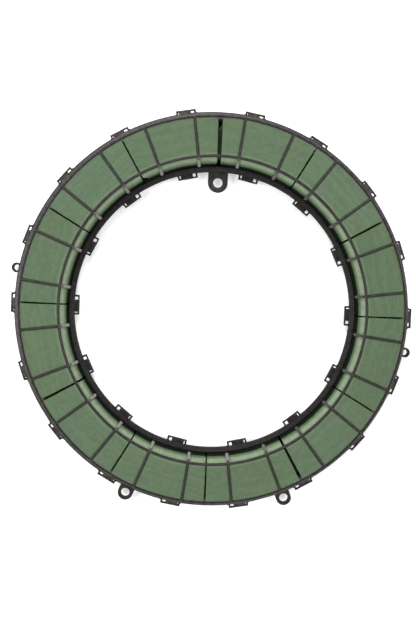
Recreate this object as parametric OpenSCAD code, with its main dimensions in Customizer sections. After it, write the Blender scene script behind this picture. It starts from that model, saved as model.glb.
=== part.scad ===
// Caged floral foam ring: a trough-shaped plastic tray, twelve foam blocks that
// fill it, and a slotted cage that clips over them.
// Z is up, the ring's axis is Z and the underside of the tray is Z = 0.
// Places round the ring are angles clockwise from +Y, seen from above.

/* [Tray] */
// Outer radius of the tray's rim flange
rim_outer_r = 299.5; // [295:0.5:305]
// Inner radius of the tray's rim flange
rim_inner_r = 208.7; // [206:0.1:210]
// Height of the rim above the surface the tray stands on
rim_z = 16; // [15:0.5:20]
// Thickness of the tray's floor, walls and flanges
tray_wall = 1.8; // [1.4:0.1:2.4]
// How far each trough wall leans in from rim to floor
tray_draft = 1.5; // [0:0.1:1.6]

/* [Foam] */
// Radius of the foam's inner wall
foam_inner_r = 217.2; // [217:0.1:218]
// Radius of the foam's outer wall
foam_outer_r = 282.6; // [281:0.1:282.8]
// Height of the foam's flat top
foam_top_z = 55; // [48:0.5:60]
// Radius of the rounded inner top edge
foam_shoulder = 12; // [6:0.5:16]
// Width of the joint before each block, clockwise from the hanger
joint_gap = [5.4, 2, 2.6, 2, 2, 3.6, 2, 2.2, 3, 2, 2.2, 2];
// Angle by which each joint strays from its even place, in the same order
joint_stray = [-0.2, 0, -0.2, -0.2, -0.2, 0, 0.2, 0.1, 0.1, 0.3, -0.1, -0.5];

/* [Cage] */
// Number of ribs round the cage
rib_count = 24; // [12:12:36]
// Width of a rib on the flat top
rib_w = 4; // [3:0.1:5]
// Width of an inner rib at the foot of its slope
rib_foot_w = 4.8; // [4:0.1:6]
// Slope of the inner ribs, in degrees from level
rib_slope = 55; // [53:0.5:57]
// Thickness of the ribs
rib_t = 2; // [1.6:0.1:2.2]
// Centreline radius of the ring near the cage's inner shoulder
mid_ring_r = 227.2; // [226:0.1:229]
// Width of that ring
mid_ring_w = 4; // [3:0.1:5]
// Inner radius of the ring round the cage's outer top edge
top_ring_inner_r = 284; // [283.8:0.1:284.6]
// Width of that ring
top_ring_w = 3.5; // [3:0.1:4]
// Height of that ring
top_ring_h = 3.8; // [2.5:0.1:5]
// Outer radius of the cage's outer foot ring
foot_outer_r = 297.6; // [296:0.1:297.8]
// Inner radius of the cage's inner foot ring
foot_inner_r = 209.4; // [209:0.1:211]
// Angle that the cage has slipped round in its clips, counter-clockwise
cage_turn = 0.4; // [0:0.1:0.5]

/* [Clips] */
// Number of clips round the outside
outer_clips = 18; // [6:2:18]
// Number of clips round the inside
inner_clips = 14; // [6:2:14]
// Width of a clip loop
loop_w = 30; // [28:0.5:34]
// How far an outer loop stands out from the rim
outer_loop_reach = 5.1; // [4.5:0.1:6]
// How far an inner loop stands in from the rim
inner_loop_reach = 6.9; // [6:0.1:8]
// Thickness of a loop's long bar
loop_bar = 2.1; // [1.6:0.1:2.2]
// Thickness of a loop's two short bars
loop_side = 2.8; // [2.4:0.1:3.4]
// Height of a loop
loop_h = 5; // [3:0.5:8]
// Width of the cage's hook in a loop
hook_w = 18.5; // [12:0.5:20]

/* [Hanging lugs] */
// Width of the hanging tab inside the ring
hanger_w = 30; // [26:0.5:36]
// Diameter of the hole in the hanging tab
hanger_hole_d = 14; // [8:0.5:16]
// Distance of that hole from the ring's axis
hanger_hole_r = 193; // [190:0.5:196]
// Thickness of the hanging tab
hanger_t = 3; // [2:0.5:5]
// Outer diameter of the two small eyelets
small_eyelet_d = 15; // [13:0.5:17]
// Hole diameter of the small eyelets
small_eyelet_hole_d = 9; // [6:0.5:9]
// Distance of a small eyelet from the ring's axis
small_eyelet_r = 302.6; // [302.6:0.1:304]
// Height of a small eyelet
small_eyelet_h = 9; // [5:0.5:12]
// Outer diameter of the two large eyelets
large_eyelet_d = 23; // [20:0.5:26]
// Hole diameter of the large eyelets
large_eyelet_hole_d = 13; // [8:0.5:14]
// Distance of a large eyelet from the ring's axis
large_eyelet_r = 308.3; // [307:0.1:310]
// Height of a large eyelet
large_eyelet_h = 6; // [4:0.5:10]

/* [Hidden] */
$fn = 180;
// Running clearance between the cage and what it covers
clearance = 0.3;
// Clearance of a hook in its slot
hook_clearance = 0.4;
// Places of the lugs round the ring
small_eyelet_at = [280, 100];
large_eyelet_at = [203.2, 156.8];
// Small overlap that keeps two shapes from meeting on one face
overlap = 1;

// Tray: wall radii at the rim
tray_in_r = foam_inner_r - 1.6;
tray_out_r = foam_outer_r + 1.8;
flange_z = rim_z - tray_wall;

// Foam blocks
block_count = len(joint_gap);
block_angle = 360 / block_count;

// Cage: heights and radii
foot_z = rim_z + clearance;
foot_t = 2;
foot_top_z = foot_z + foot_t;
bar_z = foam_top_z + clearance;
cage_top_z = bar_z + rib_t;
mid_ring_in = mid_ring_r - mid_ring_w / 2;
mid_ring_out = mid_ring_r + mid_ring_w / 2;
top_ring_outer_r = top_ring_inner_r + top_ring_w;
foot_in_edge = foam_inner_r - 0.5;
// Centre of the foam's rounded shoulder, and the distances from it of the two
// faces of an inner rib's slope
shoulder_r = foam_inner_r + foam_shoulder;
shoulder_z = foam_top_z - foam_shoulder;
slope_near = foam_shoulder + 0.5;
slope_far = slope_near + rib_t;
// Where the slope ends, and the thin stem that stands below it
slope_end_r = 213.4;
slope_end_z = 44.5;
stem_w = 2.4;
stem_t = 1.5;
stem_top_z = 48;
// A raised lip runs round the inner foot ring
lip_w = 2;
lip_h = 1;

// Hooks: the leg that goes down through the loop
hook_leg_t = 2.2;
hook_tip_z = 9;
hook_chamfer = 0.7;
hook_ridge_h = 0.9;
outer_leg_r = rim_outer_r + hook_clearance;
inner_leg_r = rim_inner_r - inner_loop_reach + loop_bar + hook_clearance + hook_leg_t;
// The plate goes this far past the leg, over the loop
hook_ledge = 0.8;

BLOCKS = [for (i = [1:block_count]) str("foam_block_", i < 10 ? "0" : "", i)];

// ---------- helpers ----------

// Puts its children at a clockwise angle, with +Y pointing away from the axis.
module at_angle(angle) {
    rotate([0, 0, -angle]) children();
}

// Repeats its children round the ring, half a step past the hanger.
module around(count, turn = 0) {
    for (i = [0:count - 1]) at_angle((i + 0.5) * 360 / count - turn) children();
}

// Mirrors its children across the Y axis where side is negative.
module mirrored(side) {
    mirror([side < 0 ? 1 : 0, 0]) children();
}

module disc(r, z0, z1) {
    translate([0, 0, z0]) cylinder(r = r, h = z1 - z0);
}

module annulus(r0, r1, z0, z1) {
    rotate_extrude() translate([r0, z0]) square([r1 - r0, z1 - z0]);
}

// ---------- tray ----------

// Section of a trough wall whose inside meets the rim's level at r. It leans
// out to the side it is on: -1 for the inner wall, 1 for the outer one.
module trough_wall_section(r, side) {
    polygon([
        [r - side * tray_draft, 0], [r + side * (tray_wall - tray_draft), 0],
        [r + side * tray_wall, flange_z], [r + side * tray_wall, rim_z],
        [r, rim_z], [r - side * tray_draft, tray_wall],
    ]);
}

module tray_floor() {
    color("dimgray")
        annulus(tray_in_r + tray_draft, tray_out_r - tray_draft, 0, tray_wall);
}

module tray_inner_wall() {
    color("gray") rotate_extrude() trough_wall_section(tray_in_r, -1);
}

module tray_outer_wall() {
    color("gray") rotate_extrude() trough_wall_section(tray_out_r, 1);
}

module tray_rims() {
    color("dimgray") difference() {
        union() {
            annulus(rim_inner_r, tray_in_r - tray_wall, flange_z, rim_z);
            annulus(tray_out_r + tray_wall, rim_outer_r, flange_z, rim_z);
        }
        for (angle = small_eyelet_at) at_angle(angle)
            translate([0, small_eyelet_r, -overlap])
                cylinder(d = small_eyelet_d, h = rim_z + 2 * overlap);
    }
}

// Plan of one loop, from the rim outwards along +Y: a frame whose fourth side
// is the rim, with a fillet at the root of each short bar.
module loop_plan(reach, fillet = 2) {
    difference() {
        union() {
            translate([-loop_w / 2, -fillet]) square([loop_w, reach + fillet]);
            for (side = [-1, 1]) mirrored(side) translate([loop_w / 2, -fillet])
                difference() {
                    square([fillet, 2 * fillet]);
                    translate([fillet, 2 * fillet]) circle(r = fillet);
                }
        }
        translate([-loop_w / 2 + loop_side, -2 * fillet])
            square([loop_w - 2 * loop_side, reach - loop_bar + 2 * fillet]);
    }
}

module outer_clip_loops() {
    color("black") difference() {
        around(outer_clips) translate([0, rim_outer_r, rim_z - loop_h])
            linear_extrude(loop_h) loop_plan(outer_loop_reach);
        disc(rim_outer_r, 0, rim_z + overlap);
    }
}

module inner_clip_loops() {
    color("black") intersection() {
        around(inner_clips) translate([0, rim_inner_r, rim_z - loop_h])
            mirror([0, 1, 0]) linear_extrude(loop_h) loop_plan(inner_loop_reach);
        disc(rim_inner_r, 0, rim_z + overlap);
    }
}

// ---------- hanging lugs ----------

module hanger_tab() {
    z = rim_z - hanger_t;
    color("dimgray") intersection() {
        difference() {
            union() {
                translate([0, hanger_hole_r, z]) cylinder(d = hanger_w, h = hanger_t);
                translate([-hanger_w / 2, hanger_hole_r, z])
                    cube([hanger_w, rim_inner_r - hanger_hole_r, hanger_t]);
            }
            translate([0, hanger_hole_r, z - overlap])
                cylinder(d = hanger_hole_d, h = hanger_t + 2 * overlap);
        }
        disc(rim_inner_r, 0, rim_z + overlap);
    }
}

module small_eyelet(angle) {
    z = rim_z - small_eyelet_h;
    color("dimgray") at_angle(angle) translate([0, small_eyelet_r, z]) difference() {
        cylinder(d = small_eyelet_d, h = small_eyelet_h);
        translate([0, 0, -overlap])
            cylinder(d = small_eyelet_hole_d, h = small_eyelet_h + 2 * overlap);
    }
}

module large_eyelet(angle) {
    z = rim_z - large_eyelet_h;
    color("dimgray") at_angle(angle) difference() {
        translate([0, large_eyelet_r, z]) {
            cylinder(d = large_eyelet_d, h = large_eyelet_h);
            translate([-large_eyelet_d / 2, -large_eyelet_d, 0])
                cube([large_eyelet_d, large_eyelet_d, large_eyelet_h]);
        }
        translate([0, large_eyelet_r, z - overlap])
            cylinder(d = large_eyelet_hole_d, h = large_eyelet_h + 2 * overlap);
        disc(rim_outer_r, 0, rim_z + overlap);
    }
}

// ---------- foam ----------

module foam_section() {
    difference() {
        translate([foam_inner_r, tray_wall])
            square([foam_outer_r - foam_inner_r, foam_top_z - tray_wall]);
        difference() {
            translate([foam_inner_r - overlap, shoulder_z])
                square([foam_shoulder + overlap, foam_shoulder + overlap]);
            translate([shoulder_r, shoulder_z]) circle(r = foam_shoulder);
        }
    }
}

// Joint i lies at the end of the block before it and the start of block i.
function joint_angle(i) = i * block_angle + joint_stray[i % block_count];

module joint_slab(i) {
    gap = joint_gap[i % block_count];
    at_angle(joint_angle(i)) translate([-gap / 2, foam_inner_r - 5, 0])
        cube([gap, foam_outer_r - foam_inner_r + 10, foam_top_z + overlap]);
}

module foam_block(i) {
    first = joint_angle(i);
    last = joint_angle(i + 1);
    color([0.42, 0.54, 0.43]) difference() {
        rotate([0, 0, 90 - last]) rotate_extrude(angle = last - first) foam_section();
        joint_slab(i);
        joint_slab(i + 1);
    }
}

// ---------- cage ----------

module cage_outer_foot_ring() {
    color("gray") annulus(top_ring_inner_r, foot_outer_r, foot_z, foot_top_z);
}

module cage_inner_foot_ring() {
    color("gray") {
        annulus(foot_inner_r, foot_in_edge, foot_z, foot_top_z);
        annulus(foot_in_edge - lip_w, foot_in_edge, foot_top_z - 0.5, foot_top_z + lip_h);
    }
}

module cage_top_ring() {
    color("gray") annulus(top_ring_inner_r, top_ring_outer_r, cage_top_z - top_ring_h, cage_top_z);
}

module cage_mid_ring() {
    color("gray") annulus(mid_ring_in, mid_ring_out, bar_z, cage_top_z);
}

// Upright ribs outside the foam, between the outer foot ring and the top ring
module cage_posts() {
    h = cage_top_z - top_ring_h - foot_top_z;
    color("gray") intersection() {
        annulus(top_ring_inner_r, top_ring_outer_r, foot_top_z, foot_top_z + h);
        around(rib_count, cage_turn)
            translate([-rib_w / 2, top_ring_inner_r - overlap, foot_top_z])
                cube([rib_w, top_ring_w + 2 * overlap, h]);
    }
}

// Level ribs over the foam, between the mid ring and the top ring
module cage_top_bars() {
    color("gray") intersection() {
        annulus(mid_ring_out, top_ring_inner_r, bar_z, cage_top_z);
        around(rib_count, cage_turn)
            translate([-rib_w / 2, mid_ring_out - overlap, bar_z])
                cube([rib_w, top_ring_inner_r - mid_ring_out + 2 * overlap, rib_t]);
    }
}

// Points of a sloping face that lies at distance d from the shoulder's centre
function slope_r_at(d, z) = shoulder_r + (z - shoulder_z) / tan(rib_slope) - d / sin(rib_slope);
function slope_z_at(d, r) = shoulder_z + (r - shoulder_r) * tan(rib_slope) + d / cos(rib_slope);

// Section of an inner rib: level from the mid ring, then down past the shoulder
module inner_rib_section() {
    polygon([
        [mid_ring_in, bar_z], [mid_ring_in, cage_top_z],
        [slope_r_at(slope_far, cage_top_z), cage_top_z],
        [slope_end_r, slope_z_at(slope_far, slope_end_r)], [slope_end_r, slope_end_z],
        [slope_r_at(slope_near, slope_end_z), slope_end_z],
        [slope_r_at(slope_near, bar_z), bar_z],
    ]);
}

// Inner ribs, which widen down their slope, each on a stem from the foot ring
module cage_inner_ribs() {
    stem_z = foot_top_z + lip_h;
    color("gray") {
        intersection() {
            rotate_extrude() inner_rib_section();
            around(rib_count, cage_turn) linear_extrude(cage_top_z + overlap) polygon([
                [-rib_foot_w / 2, slope_end_r - overlap], [rib_foot_w / 2, slope_end_r - overlap],
                [rib_w / 2 - 0.5, mid_ring_r], [-rib_w / 2 + 0.5, mid_ring_r],
            ]);
        }
        intersection() {
            annulus(foot_in_edge - stem_t, foot_in_edge, stem_z, stem_top_z);
            around(rib_count, cage_turn)
                translate([-stem_w / 2, foot_in_edge - stem_t - overlap, stem_z])
                    cube([stem_w, stem_t + 2 * overlap, stem_top_z - stem_z]);
        }
    }
}

// Section of a hook: plate, leg through the loop and ridge, from leg_r outwards
module hook_section(plate_start) {
    end = hook_leg_t + hook_ledge;
    polygon([
        [plate_start, foot_z], [0, foot_z], [0, hook_tip_z + 2 * hook_chamfer],
        [hook_chamfer, hook_tip_z], [hook_leg_t - hook_chamfer, hook_tip_z],
        [hook_leg_t, hook_tip_z + 2 * hook_chamfer], [hook_leg_t, foot_z], [end, foot_z],
        [end, foot_top_z + hook_ridge_h], [end - 1, foot_top_z + hook_ridge_h],
        [end - 1, foot_top_z], [plate_start, foot_top_z],
    ]);
}

module hook_bar(plate_start) {
    translate([-hook_w / 2, 0, 0]) rotate([90, 0, 90])
        linear_extrude(hook_w) hook_section(plate_start);
}

module outer_snap_hooks() {
    color("gray") difference() {
        around(outer_clips, cage_turn) translate([0, outer_leg_r, 0])
            hook_bar(foot_outer_r - outer_leg_r - overlap);
        disc(foot_outer_r, foot_z - overlap, cage_top_z);
    }
}

module inner_snap_hooks() {
    color("gray") intersection() {
        around(inner_clips, cage_turn) translate([0, inner_leg_r, 0])
            mirror([0, 1, 0]) hook_bar(inner_leg_r - foot_inner_r - overlap);
        disc(foot_inner_r, 0, cage_top_z);
    }
}

tray_floor();
tray_inner_wall();
tray_outer_wall();
tray_rims();
outer_clip_loops();
inner_clip_loops();
hanger_tab();
small_eyelet(small_eyelet_at[0]);  // eyelet_left
small_eyelet(small_eyelet_at[1]);  // eyelet_right
large_eyelet(large_eyelet_at[0]);  // eyelet_lower_left
large_eyelet(large_eyelet_at[1]);  // eyelet_lower_right
for (i = [0:block_count - 1]) foam_block(i);
cage_outer_foot_ring();
cage_inner_foot_ring();
cage_posts();
cage_top_ring();
cage_top_bars();
cage_mid_ring();
cage_inner_ribs();
outer_snap_hooks();
inner_snap_hooks();
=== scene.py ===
import math

import bmesh
import bpy
from mathutils import Matrix, Vector, noise


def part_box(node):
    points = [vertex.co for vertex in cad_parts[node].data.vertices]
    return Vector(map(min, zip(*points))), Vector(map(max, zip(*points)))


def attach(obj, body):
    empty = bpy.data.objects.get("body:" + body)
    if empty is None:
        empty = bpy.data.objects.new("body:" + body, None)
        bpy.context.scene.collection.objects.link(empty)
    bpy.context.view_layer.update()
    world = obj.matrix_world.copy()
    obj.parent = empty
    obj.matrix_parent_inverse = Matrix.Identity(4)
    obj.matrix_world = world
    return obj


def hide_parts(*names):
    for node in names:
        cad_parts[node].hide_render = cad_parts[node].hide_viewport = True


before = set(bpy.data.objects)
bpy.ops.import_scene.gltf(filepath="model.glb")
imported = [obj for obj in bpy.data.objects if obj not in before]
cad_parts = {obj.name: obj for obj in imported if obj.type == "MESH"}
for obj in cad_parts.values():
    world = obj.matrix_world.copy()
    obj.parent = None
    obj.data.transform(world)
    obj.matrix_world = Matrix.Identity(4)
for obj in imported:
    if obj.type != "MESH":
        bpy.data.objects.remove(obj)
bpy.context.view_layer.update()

# Places round the ring are angles in degrees, clockwise from +Y seen from above.
# Lengths are metres.


# ---------------------------------------------------------------------------
# Tray. One black polypropylene moulding: a round trough, deep enough to hold
# water, with a flat rim flange on each side. Every edge has a moulder's radius.
# ---------------------------------------------------------------------------

rim_outer_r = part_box("tray_rims")[1].x
rim_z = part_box("tray_rims")[1].z
rim_inner_r = 0.2087
trough_inner_r = 0.2156
trough_outer_r = 0.2844
tray_wall = 0.0018
tray_draft = 0.0015
tray_edge = 0.0005
tray_colour = (0.0048, 0.0044, 0.0042)
# Foam dust on upward faces of the tray, which also stands in for a painted sheen.
tray_dust_and_sheen = (0.1, 0.105, 0.09)
ring_steps = 240
smooth_limit = math.radians(38)
same_place = 1e-6

# Lumps a metre in the plastic's flow marks, the patches of its dust and painted sheen, and
# eggshell grain.
flow_per_metre = 55
patches_per_metre = 160
grain_per_metre = 1400
grain_depth = 0.00012


def wall_section(points):
    """A bmesh with one face that cuts across the ring's wall. Points are (radius, height)."""
    bm = bmesh.new()
    bm.faces.new([bm.verts.new((0, r, z)) for r, z in points])
    return bm


def oblong(r0, r1, z0, z1):
    """The corners of a plain rectangular section."""
    return [(r0, z0), (r1, z0), (r1, z1), (r0, z1)]


def round_corners(bm, radius, verts=None, steps=3):
    """Rounds all corners of a flat section or plan, or just the ones given."""
    bmesh.ops.bevel(bm, geom=verts or bm.verts[:], affect="VERTICES", offset=radius,
                    offset_type="OFFSET", segments=steps, profile=0.5, material=-1)


def spin_closed(bm, steps):
    """Spins a section's outline once round the axis into a closed ring."""
    bmesh.ops.delete(bm, geom=bm.faces[:], context="FACES_ONLY")
    bmesh.ops.spin(bm, geom=bm.verts[:] + bm.edges[:], cent=(0, 0, 0), axis=(0, 0, 1),
                   angle=2 * math.pi, steps=steps, use_merge=True)
    bmesh.ops.remove_doubles(bm, verts=bm.verts[:], dist=same_place)
    bmesh.ops.recalc_face_normals(bm, faces=bm.faces[:])


def add_node(tree, kind, inputs=None, **settings):
    """A shader node with its settings and unlinked inputs filled in."""
    made = tree.nodes.new(kind)
    for key, value in settings.items():
        setattr(made, key, value)
    for key, value in (inputs or {}).items():
        made.inputs[key].default_value = value
    return made


def noise_on(tree, coordinate, per_metre, detail=3.0, roughness=0.55):
    """A noise texture that reads the given coordinate, with that many lumps a metre."""
    made = add_node(tree, "ShaderNodeTexNoise",
                    {"Scale": per_metre, "Detail": detail, "Roughness": roughness})
    tree.links.new(coordinate, made.inputs["Vector"])
    return made.outputs["Fac"]


def spread(tree, value, low, high, to_low, to_high):
    """Maps a value from one range to another and stops at its ends."""
    made = add_node(tree, "ShaderNodeMapRange",
                    {"From Min": low, "From Max": high, "To Min": to_low, "To Max": to_high})
    tree.links.new(value, made.inputs["Value"])
    return made.outputs["Result"]


def blend_colours(tree, amount, first, second):
    """Mixes two colours. Each is a plain colour or another node's output."""
    made = add_node(tree, "ShaderNodeMix", data_type="RGBA")
    tree.links.new(amount, made.inputs[0])
    for place, colour in ((6, first), (7, second)):
        if hasattr(colour, "node"):
            tree.links.new(colour, made.inputs[place])
        else:
            made.inputs[place].default_value = (*colour, 1)
    return made.outputs[2]


def times(tree, first, second):
    """Multiplies two values. Each is a plain number or another node's output."""
    made = add_node(tree, "ShaderNodeMath", operation="MULTIPLY")
    for place, value in enumerate((first, second)):
        if hasattr(value, "node"):
            tree.links.new(value, made.inputs[place])
        else:
            made.inputs[place].default_value = value
    return made.outputs[0]


def radius_of(tree, parts):
    """Distance from the ring's axis, from the parts of a coordinate."""
    level = add_node(tree, "ShaderNodeCombineXYZ")
    tree.links.new(parts.outputs["X"], level.inputs["X"])
    tree.links.new(parts.outputs["Y"], level.inputs["Y"])
    length = add_node(tree, "ShaderNodeVectorMath", operation="LENGTH")
    tree.links.new(level.outputs[0], length.inputs[0])
    return length.outputs["Value"]


def moulded_plastic(name, colour, dust_and_sheen_colour, dust_and_sheen,
                    shade_and_matt_below=None, shade_and_matt_within=None, painted_highlight=None):
    """Dark polypropylene: a fine eggshell grain, flow marks, and foam dust on top, which also
    stands in for a painted sheen. It may have painted shade, and be matt and bare, below a
    height or within a radius, or carry a painted highlight on steep slopes."""
    material = bpy.data.materials.new(name)
    material.use_nodes = True
    tree = material.node_tree
    shader = tree.nodes["Principled BSDF"]
    shader.inputs["Specular IOR Level"].default_value = 0.22
    place = add_node(tree, "ShaderNodeTexCoord").outputs["Object"]
    flow = noise_on(tree, place, flow_per_metre, detail=4)
    grain = noise_on(tree, place, grain_per_metre, detail=2)
    patchiness = noise_on(tree, place, patches_per_metre, detail=5, roughness=0.7)

    streaked = blend_colours(tree, spread(tree, flow, 0.35, 0.7, 0.0, 1.0),
                             colour, tuple(1.5 * c for c in colour))
    parts = add_node(tree, "ShaderNodeSeparateXYZ")
    tree.links.new(place, parts.inputs[0])
    facing = add_node(tree, "ShaderNodeSeparateXYZ")
    tree.links.new(add_node(tree, "ShaderNodeNewGeometry").outputs["Normal"], facing.inputs[0])
    # Dust on upward faces, which also paints a sheen onto tops and crowns.
    upward = spread(tree, facing.outputs["Z"], 0.55, 1.0, 0.0, dust_and_sheen)
    dust_and_sheen_share = times(tree, upward, spread(tree, patchiness, 0.35, 0.7, 0.25, 1.0))
    shown = blend_colours(tree, dust_and_sheen_share, streaked, dust_and_sheen_colour)
    if painted_highlight:
        # Painted highlight on steep slopes, in patches, weaker towards +X.
        sloped = times(tree, spread(tree, facing.outputs["Z"], 0.2, 0.45, 0.0, 1.0),
                       spread(tree, facing.outputs["Z"], 1.0, 0.75, 0.12, 1.0))
        highlight_share = times(tree, sloped, spread(tree, patchiness, 0.35, 0.6, 0.6, 1.0))
        highlight_share = times(tree, highlight_share, spread(tree, parts.outputs["X"], 0.02, 0.12, 1.0, 0.25))
        shown = blend_colours(tree, highlight_share, shown, painted_highlight)

    roughness = spread(tree, flow, 0.3, 0.7, 0.32, 0.45)
    # Painted shade: below a height or within a radius the plastic is darker, bare and matt.
    if shade_and_matt_below or shade_and_matt_within:
        if shade_and_matt_below:
            shaded_matt = spread(tree, parts.outputs["Z"], shade_and_matt_below, shade_and_matt_below - 0.003, 0.0, 1.0)
        else:
            shaded_matt = spread(tree, radius_of(tree, parts), shade_and_matt_within + 0.0015, shade_and_matt_within,
                          0.0, 1.0)
        shown = blend_colours(tree, shaded_matt, shown, tuple(0.35 * c for c in colour))
        rougher = add_node(tree, "ShaderNodeMath", operation="MAXIMUM")
        tree.links.new(roughness, rougher.inputs[0])
        tree.links.new(times(tree, shaded_matt, 0.9), rougher.inputs[1])
        roughness = rougher.outputs[0]
    tree.links.new(shown, shader.inputs["Base Color"])
    tree.links.new(roughness, shader.inputs["Roughness"])
    bump = add_node(tree, "ShaderNodeBump", {"Strength": 0.35, "Distance": grain_depth})
    tree.links.new(grain, bump.inputs["Height"])
    tree.links.new(bump.outputs["Normal"], shader.inputs["Normal"])
    return material


def finish_piece(name, bm, material, slot, body, *nodes):
    """Turns a bmesh into a piece that rides on a body in place of its CAD nodes."""
    mesh = bpy.data.meshes.new(name)
    bm.to_mesh(mesh)
    bm.free()
    mesh.materials.append(material)
    mesh.shade_smooth()
    mesh.set_sharp_from_angle(angle=smooth_limit)
    piece = bpy.data.objects.new(name, mesh)
    bpy.context.collection.objects.link(piece)
    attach(piece, body)
    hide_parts(*nodes)


# The tray has painted shade below its rim, down in the trough.
tray_plastic = moulded_plastic("tray_polypropylene", tray_colour, tray_dust_and_sheen, dust_and_sheen=0.28,
                               shade_and_matt_below=rim_z - 0.001)

flange_z = rim_z - tray_wall
trough = wall_section([
    (rim_inner_r, rim_z), (rim_inner_r, flange_z),
    (trough_inner_r - tray_wall, flange_z), (trough_inner_r - tray_wall + tray_draft, 0),
    (trough_outer_r + tray_wall - tray_draft, 0), (trough_outer_r + tray_wall, flange_z),
    (rim_outer_r, flange_z), (rim_outer_r, rim_z),
    (trough_outer_r, rim_z), (trough_outer_r - tray_draft, tray_wall),
    (trough_inner_r + tray_draft, tray_wall), (trough_inner_r, rim_z),
])
round_corners(trough, tray_edge)
spin_closed(trough, ring_steps)
finish_piece("tray_trough", trough, tray_plastic, "tray_plastic", "tray_body",
             "tray_floor", "tray_inner_wall", "tray_outer_wall", "tray_rims")


# ---------------------------------------------------------------------------
# Clip loops. Rectangular frames moulded on both rims of the tray, 18 outside
# and 14 inside; the rim itself is each frame's fourth side.
# ---------------------------------------------------------------------------

loop_w = 0.030
loop_h = 0.005
loop_bar = 0.0021
loop_side = 0.0028
loop_edge = 0.00035
loop_fillet = 0.002
loop_root = 0.0012
outer_loop_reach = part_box("outer_clip_loops")[1].x - rim_outer_r
inner_loop_reach = 0.0069
outer_clips = 18
inner_clips = 14


def repeat_round(bm, count, turn=0.0):
    """Copies the bmesh round the ring, from half a step past the hanging tab."""
    step = 360 / count
    first = math.radians(step / 2 - turn)
    bmesh.ops.rotate(bm, verts=bm.verts[:], cent=(0, 0, 0), matrix=Matrix.Rotation(-first, 3, "Z"))
    bmesh.ops.spin(bm, geom=bm.verts[:] + bm.edges[:] + bm.faces[:], cent=(0, 0, 0),
                   axis=(0, 0, -1), angle=math.radians(360 - step), steps=count - 1,
                   use_duplicate=True)
    bmesh.ops.recalc_face_normals(bm, faces=bm.faces[:])


def raise_plan(bm, thickness):
    """Gives a flat plan its thickness, upwards."""
    made = bmesh.ops.extrude_face_region(bm, geom=bm.faces[:])
    top = [g for g in made["geom"] if isinstance(g, bmesh.types.BMVert)]
    bmesh.ops.translate(bm, verts=top, vec=(0, 0, thickness))
    bmesh.ops.recalc_face_normals(bm, faces=bm.faces[:])


def soften(bm, radius, steps=2, sharper_than=50, keep=None):
    """Bevels the edges that turn by more than an angle, and that keep() allows."""
    edges = [e for e in bm.edges
             if len(e.link_faces) == 2 and e.calc_face_angle() > math.radians(sharper_than)
             and (keep is None or keep(e))]
    bmesh.ops.bevel(bm, geom=edges, affect="EDGES", offset=radius, offset_type="OFFSET",
                    segments=steps, profile=0.5, material=-1)


def clip_loop(reach):
    """One loop in plan, pointing along +Y from the rim at the origin, then raised."""
    bm = bmesh.new()
    half = loop_w / 2
    inside = half - loop_side
    foot = half + loop_fillet
    plan = [(-foot, -loop_root), (-foot, 0), (-half, 0), (-half, reach),
            (half, reach), (half, 0), (foot, 0), (foot, -loop_root),
            (inside, -loop_root), (inside, reach - loop_bar), (-inside, reach - loop_bar),
            (-inside, -loop_root)]
    verts = [bm.verts.new((x, y, 0)) for x, y in plan]
    bm.faces.new(verts)
    round_corners(bm, 0.9 * loop_fillet, [verts[2], verts[5]], steps=4)
    round_corners(bm, 0.5 * loop_fillet, [verts[9], verts[10]], steps=3)
    bm.verts.ensure_lookup_table()
    raise_plan(bm, loop_h)
    soften(bm, loop_edge)
    return bm


loops = clip_loop(outer_loop_reach)
bmesh.ops.translate(loops, verts=loops.verts[:], vec=(0, rim_outer_r, rim_z - loop_h))
repeat_round(loops, outer_clips)
finish_piece("outer_loops", loops, tray_plastic, "tray_plastic", "tray_body", "outer_clip_loops")

loops = clip_loop(inner_loop_reach)
bmesh.ops.rotate(loops, verts=loops.verts[:], cent=(0, 0, 0),
                 matrix=Matrix.Rotation(math.pi, 3, "Z"))
bmesh.ops.translate(loops, verts=loops.verts[:], vec=(0, rim_inner_r, rim_z - loop_h))
repeat_round(loops, inner_clips)
finish_piece("inner_loops", loops, tray_plastic, "tray_plastic", "tray_body", "inner_clip_loops")


# ---------------------------------------------------------------------------
# Hanging tab. A flat tongue inside the ring with a round hole for a nail,
# moulded with the tray, with a small radius on every edge.
# ---------------------------------------------------------------------------

hanger_w = 0.030
hanger_hole_d = 0.014
hanger_hole_r = 0.193
hanger_t = 0.003
hanger_edge = 0.0005
eye_steps = 64
root_overlap = 0.004


def eye(width, hole_d, hole_r, thickness, edge, root_r=None):
    """An eye about a hole at hole_r. Its rim side is drawn out straight as far as root_r."""
    bm = wall_section(oblong(hole_d / 2, width / 2, rim_z - thickness, rim_z))
    round_corners(bm, edge)
    spin_closed(bm, eye_steps)
    if root_r:
        depth = root_r - hole_r
        for v in bm.verts:
            reach = v.co.xy.length
            if reach > (hole_d + width) / 4 and v.co.y * depth > 0:
                across = max(abs(v.co.x) / reach, 1e-6)
                outline = min(width / 2 / across, abs(depth) * reach / abs(v.co.y))
                v.co.xy *= outline / (width / 2)
    bmesh.ops.translate(bm, verts=bm.verts[:], vec=(0, hole_r, 0))
    return bm


tab = eye(hanger_w, hanger_hole_d, hanger_hole_r, hanger_t, hanger_edge,
          root_r=rim_inner_r + root_overlap)
finish_piece("hanging_tab", tab, tray_plastic, "tray_plastic", "tray_body", "hanger_tab")


# ---------------------------------------------------------------------------
# Eyelets. Two small tall bosses at the sides and two larger flat lugs at the
# bottom, all moulded with the tray, for the legs of a stand or for wire.
# ---------------------------------------------------------------------------

small_eyelet_d = 0.015
small_eyelet_hole_d = 0.009
small_eyelet_r = 0.3026
small_eyelet_h = 0.009
small_eyelet_edge = 0.0004
large_eyelet_d = 0.023
large_eyelet_hole_d = 0.013
large_eyelet_r = 0.3083
large_eyelet_h = 0.006
large_eyelet_edge = 0.0007


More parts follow.
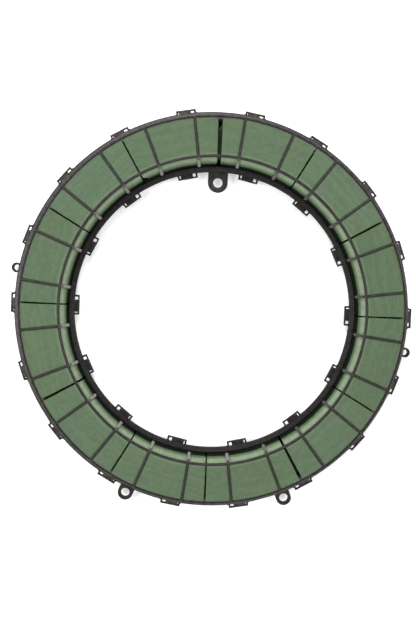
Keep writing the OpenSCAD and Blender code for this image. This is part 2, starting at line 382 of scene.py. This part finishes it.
def turn_clockwise(bm, degrees):
    """Turns a piece round the ring's axis to its place."""
    bmesh.ops.rotate(bm, verts=bm.verts[:], cent=(0, 0, 0),
                     matrix=Matrix.Rotation(-math.radians(degrees), 3, "Z"))


for name, node, angle in (("left_eyelet", "eyelet_left", 280),
                          ("right_eyelet", "eyelet_right", 100)):
    boss = eye(small_eyelet_d, small_eyelet_hole_d, small_eyelet_r, small_eyelet_h,
               small_eyelet_edge)
    turn_clockwise(boss, angle)
    finish_piece(name, boss, tray_plastic, "tray_plastic", "tray_body", node)

for name, node, angle in (("lower_left_eyelet", "eyelet_lower_left", 203.2),
                          ("lower_right_eyelet", "eyelet_lower_right", 156.8)):
    lug = eye(large_eyelet_d, large_eyelet_hole_d, large_eyelet_r, large_eyelet_h,
              large_eyelet_edge, root_r=rim_outer_r - root_overlap)
    turn_clockwise(lug, angle)
    finish_piece(name, lug, tray_plastic, "tray_plastic", "tray_body", node)


# ---------------------------------------------------------------------------
# Foam blocks. Twelve pieces of dry green phenolic foam, sawn from bricks and
# pressed into the trough. The cage has crushed their inner top edge round, and
# the sawn faces show fine grain lines and pores.
# ---------------------------------------------------------------------------

foam_inner_r = 0.2172
foam_outer_r = 0.2826
foam_low_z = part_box("foam_block_01")[0].z
foam_top_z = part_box("foam_block_01")[1].z
foam_shoulder = 0.012
block_count = 12
joint_gap = [0.0054, 0.002, 0.0026, 0.002, 0.002, 0.0036,
             0.002, 0.0022, 0.003, 0.002, 0.0022, 0.002]
joint_stray = [-0.2, 0, -0.2, -0.2, -0.2, 0, 0.2, 0.1, 0.1, 0.3, -0.1, -0.5]
grid_size = 0.0022
step_stretch = 1.15
foam_edge = 0.0006

# Unevenness of the faces, and how the edges at a joint have crumbled back.
waves_per_metre = 35
wave_depth = 0.0003
grit_per_metre = 420
grit_depth = 0.00012
loose_grit_depth = 0.0005
loose_share = 0.09
loose_reach = 0.0025

# Where a joint face starts to swell, and how far it goes into its neighbour.
swell_reach = 0.0015
swell_depth = 0.018
swell_gaps = 5.5
swell_fade = 0.004
swell_overlap = 0.0008

# The broken corner of the last block, measured from its first top corner.
chip_r = 0.0098
chip_inwards = 0.001
chip_turn = 0.5
chip_down = 0.0125

# Colours, and lumps a metre in the foam's clouds, mottle, saw lines and pores.
cloud_per_metre = 22
mottle_per_metre = 130
saw_per_metre = 200
pores_per_metre = 1500
pore_depth = 0.0003
# How far the ragged edge of the painted wall shade wanders.
ragged_depth = 0.006
foam_greens = [(0.08, 0.117, 0.07), (0.081, 0.12, 0.074), (0.079, 0.116, 0.069)]
# Painted shade on the foam's inner wall, as a share of its green.
painted_wall_shade = 0.1
foam_tints = [1.0, 1.02, 0.98, 0.97, 1.0, 1.03, 1.02, 1.0, 1.02, 0.99, 1.01, 1.0]
# The crushed shoulder's paler green, which also carries a painted sheen.
crushed_sheen_green = (0.215, 0.27, 0.175)


def foam_material(index):
    """Dry floral foam. Saw lines run along the block; the crushed shoulder is paler, with a
    painted sheen, and painted shade darkens the inner wall below it.
    """
    material = bpy.data.materials.new(f"floral_foam_{index + 1:02d}")
    material.use_nodes = True
    tree = material.node_tree
    shader = tree.nodes["Principled BSDF"]
    shader.inputs["Specular IOR Level"].default_value = 0.0
    place = add_node(tree, "ShaderNodeTexCoord").outputs["Object"]
    middle = math.radians((index + 0.5) * 360 / block_count)
    along = add_node(tree, "ShaderNodeMapping",
                     {"Rotation": (0, 0, middle), "Location": (0.31 * index, 0.17 * index, 0)})
    tree.links.new(place, along.inputs["Vector"])
    stretched = add_node(tree, "ShaderNodeMapping", {"Scale": (0.06, 1.0, 0.6)})
    tree.links.new(along.outputs["Vector"], stretched.inputs["Vector"])

    cloud = noise_on(tree, along.outputs["Vector"], cloud_per_metre, detail=3)
    mottle = noise_on(tree, along.outputs["Vector"], mottle_per_metre, detail=4, roughness=0.65)
    pores = noise_on(tree, along.outputs["Vector"], pores_per_metre, detail=3, roughness=0.7)
    saw = noise_on(tree, stretched.outputs["Vector"], saw_per_metre, detail=5, roughness=0.75)

    green = tuple(foam_tints[index] * c for c in foam_greens[index % 3])
    pale = tuple(1.3 * c for c in green)
    olive = (1.05 * green[0], 1.0 * green[1], 0.98 * green[2])
    colour = blend_colours(tree, spread(tree, cloud, 0.4, 0.6, 0.0, 1.0), green, olive)
    colour = blend_colours(tree, spread(tree, mottle, 0.42, 0.68, 0.0, 0.6), colour, pale)
    colour = blend_colours(tree, spread(tree, saw, 0.46, 0.62, 0.0, 0.6), colour, pale)
    colour = blend_colours(tree, spread(tree, pores, 0.5, 0.3, 0.0, 0.6), colour,
                           tuple(0.55 * c for c in green))

    parts = add_node(tree, "ShaderNodeSeparateXYZ")
    tree.links.new(place, parts.inputs[0])
    radius = radius_of(tree, parts)
    # The crushed shoulder is paler, with a painted sheen, strongest near its top.
    shoulder = spread(tree, radius, foam_inner_r + 0.016, foam_inner_r + 0.008, 0, 1)
    crushed_sheen = times(tree, times(tree, shoulder, spread(tree, mottle, 0.3, 0.7, 0.55, 1.0)),
                    spread(tree, parts.outputs["Z"], foam_top_z - 0.0065, foam_top_z - 0.0035,
                           0.1, 1))
    colour = blend_colours(tree, crushed_sheen, colour, crushed_sheen_green)
    # Painted shade darkens the inner wall below the shoulder, and the broken corner, with a ragged
    # upper edge.
    ragged = add_node(tree, "ShaderNodeMath", operation="MULTIPLY_ADD")
    tree.links.new(mottle, ragged.inputs[0])
    ragged.inputs[1].default_value = ragged_depth
    tree.links.new(parts.outputs["Z"], ragged.inputs[2])
    wall = times(tree, spread(tree, radius, foam_inner_r + 0.010, foam_inner_r + 0.008, 0, 1),
                 spread(tree, ragged.outputs[0], foam_top_z - 0.0045, foam_top_z - 0.0115, 0, 1))
    colour = blend_colours(tree, wall, colour, tuple(painted_wall_shade * c for c in green))
    tree.links.new(colour, shader.inputs["Base Color"])
    tree.links.new(spread(tree, shoulder, 0.0, 1.0, 0.92, 0.7), shader.inputs["Roughness"])

    rough = add_node(tree, "ShaderNodeMath", operation="ADD")
    tree.links.new(pores, rough.inputs[0])
    tree.links.new(times(tree, saw, 0.8), rough.inputs[1])
    bump = add_node(tree, "ShaderNodeBump", {"Strength": 0.6, "Distance": pore_depth})
    tree.links.new(rough.outputs[0], bump.inputs["Height"])
    tree.links.new(bump.outputs["Normal"], shader.inputs["Normal"])
    return material


def joint_angle(index):
    """Where the joint before a block lies; each strays a little from its even place."""
    return index * 360 / block_count + joint_stray[index % block_count]


def half_gap(index):
    """Half a joint's width, as an angle at the middle of the foam."""
    middle = (foam_inner_r + foam_outer_r) / 2
    return math.degrees(joint_gap[index % block_count] / 2 / middle)


def at(radius, angle, z):
    """The point at a radius, an angle round the ring and a height."""
    turn = math.radians(angle)
    return Vector((radius * math.sin(turn), radius * math.cos(turn), z))


def foam_section():
    """A grid across the foam, with its inner top corner turned round the shoulder."""
    bm = bmesh.new()
    wide, high = foam_outer_r - foam_inner_r, foam_top_z - foam_low_z
    bmesh.ops.create_grid(bm, x_segments=round(wide / grid_size),
                          y_segments=round(high / grid_size), size=0.5)
    bmesh.ops.scale(bm, verts=bm.verts[:], vec=(wide, high, 1))
    centre = Vector((foam_inner_r + foam_shoulder, foam_top_z - foam_shoulder))
    for v in bm.verts:
        r = v.co.x + (foam_inner_r + foam_outer_r) / 2
        z = v.co.y + (foam_low_z + foam_top_z) / 2
        inwards, upwards = centre.x - r, z - centre.y
        if inwards > 0 and upwards > 0:
            reach = max(inwards, upwards)
            turn = math.atan2(upwards, inwards)
            r = centre.x - reach * math.cos(turn)
            z = centre.y + reach * math.sin(turn)
        v.co = (0, r, z)
    return bm


def crumble(bm, first, last, depths):
    """Wears the block: loose edges at its two joints, to these depths, and uneven faces."""
    for v in bm.verts:
        r = v.co.xy.length
        angle = math.degrees(math.atan2(v.co.x, v.co.y)) % 360
        from_joint, depth = min((r * math.radians(abs(angle - first % 360)), depths[0]),
                                (r * math.radians(abs(angle - last % 360)), depths[1]))
        loose = math.exp(-from_joint / loose_reach)
        broad = noise.noise(v.co * waves_per_metre) * wave_depth
        fine = noise.noise(v.co * grit_per_metre) * (grit_depth + loose_grit_depth * loose)
        v.co += v.normal * (broad + fine - depth * loose)


def press_together(bm, first, last, gaps):
    """Swells the low middle of the two joint faces, where the block presses on its neighbours."""
    for v in bm.verts:
        r = v.co.xy.length
        angle = math.degrees(math.atan2(v.co.x, v.co.y)) % 360
        from_side = min(r - foam_inner_r, foam_outer_r - r)
        for end, way, gap in ((first % 360, -1, gaps[0]), (last % 360, 1, gaps[1])):
            if r * math.radians(abs(angle - end)) < swell_reach:
                from_top = foam_top_z - v.co.z - max(swell_depth, swell_gaps * gap)
                swell = (min(1, max(0, from_top / swell_fade))
                         * min(1, max(0, from_side / swell_fade - 1)))
                shift = swell * (gap / 2 + swell_overlap)
                v.co = at(r, angle + way * math.degrees(shift / r), v.co.z)


def chip(bm, centre, radius):
    """Breaks a corner off: what lies within radius of centre is pushed out to it."""
    for v in bm.verts:
        away = v.co - centre
        if away.length < radius:
            v.co = centre + away.normalized() * radius


foam_slab = foam_section()
foam_sheet = bpy.data.meshes.new("foam_section")
foam_slab.to_mesh(foam_sheet)
foam_slab.free()

for index in range(block_count):
    first = joint_angle(index) + half_gap(index)
    last = joint_angle(index + 1) - half_gap(index + 1)
    block = bmesh.new()
    block.from_mesh(foam_sheet)
    turn_clockwise(block, first)
    steps = round(math.radians(last - first) * foam_outer_r / grid_size / step_stretch)
    bmesh.ops.spin(block, geom=block.verts[:] + block.edges[:] + block.faces[:], cent=(0, 0, 0),
                   axis=(0, 0, -1), angle=math.radians(last - first), steps=steps)
    bmesh.ops.recalc_face_normals(block, faces=block.faces[:])
    soften(block, foam_edge, sharper_than=60)
    block.normal_update()
    gaps = [joint_gap[index], joint_gap[(index + 1) % block_count]]
    crumble(block, first, last, [loose_share * gap for gap in gaps])
    press_together(block, first, last, gaps)
    if index == block_count - 1:
        corner = at(foam_inner_r - chip_inwards, first - chip_turn, foam_top_z - chip_down)
        chip(block, corner, chip_r)
    node = f"foam_block_{index + 1:02d}"
    finish_piece(f"foam_{index + 1:02d}", block, foam_material(index), "foam", "tray_body", node)

bpy.data.meshes.remove(foam_sheet)


# ---------------------------------------------------------------------------
# Cage rings. The cage is one polypropylene moulding. Four rings run round it:
# a foot ring on each rim of the tray, one round the outer top edge, and one
# just over the foam's shoulder.
# ---------------------------------------------------------------------------

cage_colour = (0.0052, 0.0046, 0.0044)
# Foam dust on upward faces of the cage, which also stands in for a painted sheen.
cage_dust_and_sheen = (0.17, 0.154, 0.147)
cage_top_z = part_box("cage_top_ring")[1].z
bar_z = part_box("cage_mid_ring")[0].z
foot_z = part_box("cage_outer_foot_ring")[0].z
foot_top_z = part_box("cage_outer_foot_ring")[1].z
foot_outer_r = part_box("cage_outer_foot_ring")[1].x
top_ring_outer_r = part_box("cage_top_ring")[1].x
top_ring_w = 0.0035
top_ring_inner_r = top_ring_outer_r - top_ring_w
mid_ring_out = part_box("cage_mid_ring")[1].x
mid_ring_w = 0.004
mid_ring_in = mid_ring_out - mid_ring_w
foot_inner_r = 0.2094
foot_inner_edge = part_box("cage_inner_foot_ring")[1].x
lip_w = 0.002
lip_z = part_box("cage_inner_foot_ring")[1].z
top_ring_t = 0.0038
top_ring_crown = 0.0012
bar_crown = 0.0016

# The bare moulding, the dustier top ring, and the dustiest outer foot ring and hooks. Their
# dust also stands in for a painted sheen, and the outer foot ring has painted shade inward of
# the top ring's outer edge.
cage_plastic = moulded_plastic("cage_polypropylene", cage_colour, cage_dust_and_sheen, dust_and_sheen=0.2)
sheened_dusty_crown = moulded_plastic("sheened_dusty_crown_polypropylene", cage_colour, cage_dust_and_sheen, dust_and_sheen=0.36)
sheened_shaded_dusty_plastic = moulded_plastic("sheened_shaded_dusty_polypropylene", cage_colour, cage_dust_and_sheen, dust_and_sheen=0.6,
                                shade_and_matt_within=top_ring_outer_r)


def ring_piece(name, node, points, edge=0, crown=0, material=cage_plastic):
    """A ring of the cage. All its corners get an edge radius, or its two highest a crown."""
    bm = wall_section(points)
    if crown:
        crest = [v for v in bm.verts if v.co.z > max(z for _, z in points) - same_place]
        round_corners(bm, crown, crest, steps=6)
    else:
        round_corners(bm, edge)
    spin_closed(bm, ring_steps)
    finish_piece(name, bm, material, "cage_plastic", "cage_body", node)


ring_piece("outer_foot_ring", "cage_outer_foot_ring",
           oblong(top_ring_inner_r, foot_outer_r, foot_z, foot_top_z), edge=0.0006,
           material=sheened_shaded_dusty_plastic)
ring_piece("inner_foot_ring", "cage_inner_foot_ring",
           [(foot_inner_r, foot_z), (foot_inner_edge, foot_z), (foot_inner_edge, lip_z),
            (foot_inner_edge - lip_w, lip_z), (foot_inner_edge - lip_w, foot_top_z),
            (foot_inner_r, foot_top_z)], edge=0.0004)
ring_piece("top_ring", "cage_top_ring",
           oblong(top_ring_inner_r, top_ring_outer_r, cage_top_z - top_ring_t, cage_top_z),
           crown=top_ring_crown, material=sheened_dusty_crown)
ring_piece("mid_ring", "cage_mid_ring",
           oblong(mid_ring_in, mid_ring_out, bar_z, cage_top_z), crown=bar_crown)


# ---------------------------------------------------------------------------
# Cage ribs. 24 ribs join the rings: an upright post outside the foam, a level
# bar over it, and an inner rib that slopes down past the shoulder onto a thin
# stem. The slopes carry a painted highlight. The cage sits a little turned.
# ---------------------------------------------------------------------------

rib_count = 24
rib_w = 0.004
rib_t = 0.002
rib_foot_w = 0.0048
rib_slope = math.radians(55)
slope_end_r = 0.2134
slope_end_z = 0.0445
stem_w = 0.0024
stem_t = 0.0015
stem_top_z = 0.048
rib_edge = 0.0006
rib_gap = 0.0005
rib_narrowed = 0.22
post_edge = 0.0009
stem_edge = 0.0004
# Colour of the painted highlight on the inner ribs' slopes.
rib_highlight = (0.235, 0.208, 0.214)
cage_turn = 0.4

# How far a bar runs into a ring, and how far its face stays off the ring's face.
bury = 0.0008
hair = 0.0001


def bar(wide, r0, r1, z0, z1):
    """A straight bar centred on +Y, with the given width and reach."""
    bm = bmesh.new()
    bmesh.ops.create_cube(bm, size=1)
    bmesh.ops.scale(bm, verts=bm.verts[:], vec=(wide, r1 - r0, z1 - z0))
    bmesh.ops.translate(bm, verts=bm.verts[:], vec=(0, (r0 + r1) / 2, (z0 + z1) / 2))
    return bm


def rib_piece(name, node, bm, material=cage_plastic):
    """Repeats one rib's share of a piece round the cage."""
    repeat_round(bm, rib_count, cage_turn)
    finish_piece(name, bm, material, "cage_plastic", "cage_body", node)


def upright(edge):
    """Whether an edge stands up."""
    return abs((edge.verts[1].co - edge.verts[0].co).normalized().z) > 0.9


def along_y(edge):
    """Whether an edge runs along a bar that points to +Y."""
    return abs((edge.verts[1].co - edge.verts[0].co).normalized().y) > 0.9


post = bar(rib_w, top_ring_inner_r + hair, top_ring_outer_r - 2 * hair,
           foot_top_z - bury, cage_top_z - top_ring_t + bury)
soften(post, post_edge, steps=3, keep=upright)
rib_piece("posts", "cage_posts", post)

level_bar = bar(rib_w, mid_ring_out - bury, top_ring_inner_r + bury, bar_z, cage_top_z - hair)
soften(level_bar, bar_crown, steps=6,
       keep=lambda e: along_y(e) and e.verts[0].co.z > bar_z + same_place)
rib_piece("top_bars", "cage_top_bars", level_bar)

shoulder_r = foam_inner_r + foam_shoulder
shoulder_z = foam_top_z - foam_shoulder
slope_near = foam_shoulder + rib_gap
slope_far = slope_near + rib_t


def slope_r_at(distance, z):
    """Radius of the sloping face that lies at a distance from the shoulder's centre."""
    return shoulder_r + (z - shoulder_z) / math.tan(rib_slope) - distance / math.sin(rib_slope)


def slope_z_at(distance, r):
    """Height of that face at a radius."""
    return shoulder_z + (r - shoulder_r) * math.tan(rib_slope) + distance / math.cos(rib_slope)


def draw_out(bm, width):
    """Draws a section out sideways to a width, and centres it on +Y."""
    made = bmesh.ops.extrude_face_region(bm, geom=bm.faces[:])
    side = [g for g in made["geom"] if isinstance(g, bmesh.types.BMVert)]
    bmesh.ops.translate(bm, verts=side, vec=(width, 0, 0))
    bmesh.ops.translate(bm, verts=bm.verts[:], vec=(-width / 2, 0, 0))
    bmesh.ops.recalc_face_normals(bm, faces=bm.faces[:])


inner_rib = wall_section([
    (mid_ring_in + bury, bar_z), (mid_ring_in + bury, cage_top_z - hair),
    (slope_r_at(slope_far, cage_top_z), cage_top_z - hair),
    (slope_end_r, slope_z_at(slope_far, slope_end_r)), (slope_end_r, slope_end_z),
    (slope_r_at(slope_near, slope_end_z), slope_end_z), (slope_r_at(slope_near, bar_z), bar_z)])
draw_out(inner_rib, rib_w)
for v in inner_rib.verts:
    down = max(0, (mid_ring_in - v.co.y) / (mid_ring_in - slope_end_r))
    v.co.x *= 1 - rib_narrowed * (1 - down) + (rib_foot_w / rib_w - 1) * down
soften(inner_rib, rib_edge, steps=3, sharper_than=30)
stem = bar(stem_w, foot_inner_edge - stem_t, foot_inner_edge, lip_z - bury, stem_top_z)
soften(stem, stem_edge, keep=upright)
stem_mesh = bpy.data.meshes.new("rib_stem")
stem.to_mesh(stem_mesh)
stem.free()
inner_rib.from_mesh(stem_mesh)
bpy.data.meshes.remove(stem_mesh)
# The inner ribs carry a painted highlight on their slopes.
highlighted_plastic = moulded_plastic("highlighted_polypropylene", cage_colour, cage_dust_and_sheen, dust_and_sheen=0.2,
                                 painted_highlight=rib_highlight)
rib_piece("inner_ribs", "cage_inner_ribs", inner_rib, highlighted_plastic)


# ---------------------------------------------------------------------------
# Snap hooks. A plate on the edge of each foot ring, with a leg that goes down
# through the clip loop and a low ridge along its outer edge for a thumb.
# ---------------------------------------------------------------------------

hook_w = 0.0185
hook_leg_t = 0.0022
hook_tip_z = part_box("outer_snap_hooks")[0].z
hook_top_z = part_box("outer_snap_hooks")[1].z
hook_chamfer = 0.0007
ridge_w = 0.001
outer_leg_r = rim_outer_r + 0.0004
inner_leg_r = rim_inner_r - 0.0022
hook_ledge = 0.0008
hook_edge = 0.0003
hook_overlap = 0.001


def snap_hook(plate):
    """A hook whose leg starts at the origin and faces +Y; plate is how far it reaches back."""
    end = hook_leg_t + hook_ledge
    bm = wall_section([
        (-plate, foot_z + hair), (0, foot_z + hair), (0, hook_tip_z + 2 * hook_chamfer),
        (hook_chamfer, hook_tip_z), (hook_leg_t - hook_chamfer, hook_tip_z),
        (hook_leg_t, hook_tip_z + 2 * hook_chamfer), (hook_leg_t, foot_z), (end, foot_z),
        (end, hook_top_z), (end - ridge_w, hook_top_z), (end - ridge_w, foot_top_z - hair),
        (-plate, foot_top_z - hair)])
    draw_out(bm, hook_w)
    soften(bm, hook_edge)
    return bm


hooks = snap_hook(outer_leg_r - foot_outer_r + hook_overlap)
bmesh.ops.translate(hooks, verts=hooks.verts[:], vec=(0, outer_leg_r, 0))
repeat_round(hooks, outer_clips, cage_turn)
finish_piece("outer_hooks", hooks, sheened_shaded_dusty_plastic, "cage_plastic", "cage_body", "outer_snap_hooks")

hooks = snap_hook(foot_inner_r - inner_leg_r + hook_overlap)
bmesh.ops.rotate(hooks, verts=hooks.verts[:], cent=(0, 0, 0),
                 matrix=Matrix.Rotation(math.pi, 3, "Z"))
bmesh.ops.translate(hooks, verts=hooks.verts[:], vec=(0, inner_leg_r, 0))
repeat_round(hooks, inner_clips, cage_turn)
finish_piece("inner_hooks", hooks, cage_plastic, "cage_plastic", "cage_body", "inner_snap_hooks")


# ---------------------------------------------------------------------------
# Studio. A pale floor that glows a little, four square soft lights, the
# strongest behind and at the left, and a camera almost straight above the ring.
# ---------------------------------------------------------------------------

floor_drop = 0.0003
floor_white = (0.9, 0.9, 0.9, 1)
white = (1, 1, 1, 1)

floor_mesh = bpy.data.meshes.new("studio_floor")
floor_bm = bmesh.new()
bmesh.ops.create_grid(floor_bm, x_segments=1, y_segments=1, size=6)
bmesh.ops.translate(floor_bm, verts=floor_bm.verts[:], vec=(0, 0, -floor_drop))
floor_bm.to_mesh(floor_mesh)
floor_bm.free()
floor = bpy.data.objects.new("studio_floor", floor_mesh)
bpy.context.collection.objects.link(floor)
floor_paint = bpy.data.materials.new("pale_floor")
floor_paint.use_nodes = True
floor_shader = floor_paint.node_tree.nodes["Principled BSDF"]
for socket, value in (("Base Color", floor_white), ("Roughness", 0.9),
                      ("Emission Color", white), ("Emission Strength", 0.35)):
    floor_shader.inputs[socket].default_value = value
floor_mesh.materials.append(floor_paint)

world = bpy.data.worlds.new("studio")
bpy.context.scene.world = world
world.use_nodes = True
sky = world.node_tree.nodes["Background"]
sky.inputs["Color"].default_value = white
sky.inputs["Strength"].default_value = 0.3
light_height = 48
light_distance = 2.2
light_size = 1.0


def soft_light(name, azimuth, power):
    """A square soft light that faces the middle of the ring, from an angle round it."""
    lamp = bpy.data.lights.new(name, "AREA")
    lamp.shape = "SQUARE"
    lamp.size = light_size
    lamp.energy = power
    holder = bpy.data.objects.new(name, lamp)
    elevation = math.radians(light_height)
    holder.location = at(light_distance * math.cos(elevation), azimuth,
                         light_distance * math.sin(elevation))
    holder.rotation_euler = (-holder.location).to_track_quat("-Z", "Y").to_euler()
    bpy.context.collection.objects.link(holder)


soft_light("back_light", -10, 38)
soft_light("left_light", -95, 27)
soft_light("right_light", 85, 18)
soft_light("front_light", 175, 11)

camera_at = Vector((-0.0399, 0.0372, 1.216))
camera_aim = Vector((-0.0066, -0.0028, rim_z))
camera_roll = 2.42
camera_lens = 30.396

forward = (camera_aim - camera_at).normalized()
right = forward.cross(Vector((0, 1, 0))).normalized()
right.rotate(Matrix.Rotation(-math.radians(camera_roll), 3, forward))
upward = right.cross(forward)
camera = bpy.data.objects.new("camera", bpy.data.cameras.new("camera"))
camera.data.sensor_fit = "VERTICAL"
camera.data.sensor_height = 24
camera.data.lens = camera_lens
camera.matrix_world = (Matrix.Translation(camera_at)
                       @ Matrix((right, upward, -forward)).transposed().to_4x4())
bpy.context.collection.objects.link(camera)
bpy.context.scene.camera = camera
bpy.context.scene.view_settings.view_transform = "Standard"
